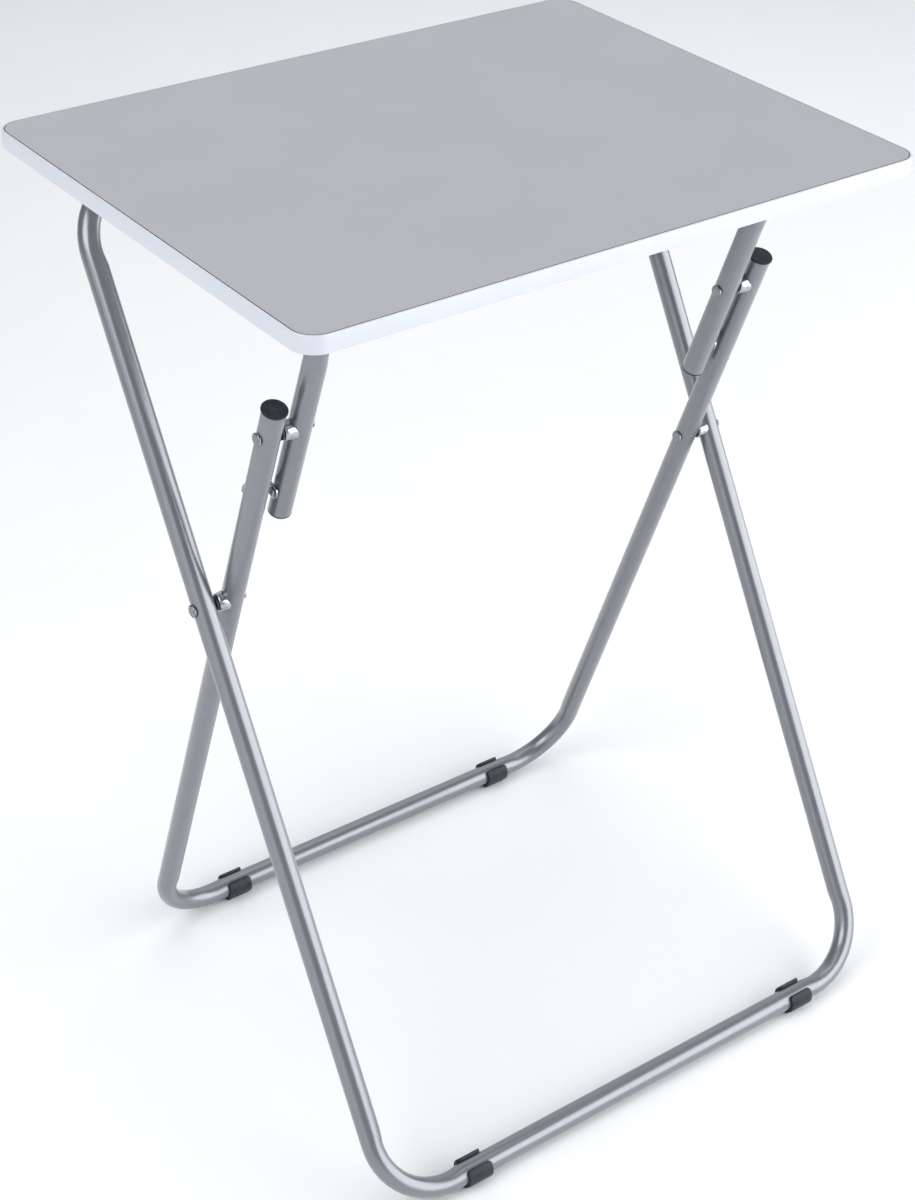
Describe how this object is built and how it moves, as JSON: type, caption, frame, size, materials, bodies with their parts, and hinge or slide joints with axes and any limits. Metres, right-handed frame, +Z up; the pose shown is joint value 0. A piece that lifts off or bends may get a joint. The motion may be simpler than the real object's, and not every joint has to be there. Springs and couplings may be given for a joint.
{
  "type": "folding tray table",
  "caption": "Rectangular laminated tray table on crossed steel-tube legs that fold flat through a riveted four-bar linkage.",
  "frame": {"origin": "on the floor under the middle of the bounding box, table open", "axes": "+Z up, front of the table towards -Y, long edge of the board along X"},
  "size_m": [0.483, 0.455, 0.659],
  "materials": {
    "leg_paint": "satin silver-grey paint on steel tube",
    "bright_steel": "bright plated rivets, spacers, hooks and screws",
    "dark_plastic": "fine-textured dark grey moulded plastic",
    "grey_laminate": "flat warm light-grey laminate",
    "silver_edging": "glossy silver-white edge band",
    "backing_sheet": "dull grey backing sheet",
    "pressed_board": "raw medium-density fibreboard"
  },
  "bodies": {
    "outer_legs": {"outer_leg_tube": "leg_paint", "outer_foot_left": "dark_plastic", "outer_foot_right": "dark_plastic", "main_pivot_left_rivet": "bright_steel", "main_pivot_right_rivet": "bright_steel", "main_pivot_left_washer": "dark_plastic", "main_pivot_right_spacer": "bright_steel"},
    "inner_legs": {"inner_leg_tube": "leg_paint", "inner_foot_left": "dark_plastic", "inner_foot_right": "dark_plastic", "top_cap_left": "dark_plastic", "top_cap_right": "dark_plastic", "main_pivot_left_spacer": "bright_steel", "main_pivot_right_washer": "dark_plastic", "link_pivot_left_rivet": "bright_steel", "link_pivot_right_rivet": "bright_steel", "link_pivot_left_washer": "dark_plastic", "link_pivot_right_spacer": "bright_steel"},
    "link": {"link_tube": "leg_paint", "link_plug_left": "dark_plastic", "link_plug_right": "dark_plastic", "stop_hook_left": "bright_steel", "stop_hook_right": "bright_steel", "stop_hook_rivet_left": "bright_steel", "stop_hook_rivet_right": "bright_steel", "link_pivot_left_spacer": "bright_steel", "link_pivot_right_washer": "dark_plastic"},
    "board": {"board_core": "pressed_board", "backing_sheet": "backing_sheet", "top_laminate": "grey_laminate", "edge_band": "silver_edging", "link_clip_left": "dark_plastic", "link_clip_left_front_screw": "bright_steel", "link_clip_left_rear_screw": "bright_steel", "link_clip_right": "dark_plastic", "link_clip_right_front_screw": "bright_steel", "link_clip_right_rear_screw": "bright_steel", "rest_clip_left": "dark_plastic", "rest_clip_left_front_screw": "bright_steel", "rest_clip_left_rear_screw": "bright_steel", "rest_clip_right": "dark_plastic", "rest_clip_right_front_screw": "bright_steel", "rest_clip_right_rear_screw": "bright_steel"}
  },
  "joints": [
    {"name": "leg_fold", "type": "hinge", "parent": "outer_legs", "child": "inner_legs", "pos_m": [0, 0.00799, 0.389], "axis": [-1, 0, 0], "range_deg": [0, 50.35]},
    {"name": "link_swing", "type": "hinge", "parent": "inner_legs", "child": "link", "pos_m": [0, -0.04479, 0.53723], "axis": [1, 0, 0], "range_deg": [0, 180]},
    {"name": "board_tip", "type": "hinge", "parent": "link", "child": "board", "pos_m": [0, -0.07996, 0.636], "axis": [-1, 0, 0], "range_deg": [0, 70.4]}
  ],
  "couplings": [
    {"joint": "link_swing", "follows": "leg_fold", "ratio": 3.575},
    {"joint": "board_tip", "follows": "leg_fold", "ratio": 1.3982}
  ]
}
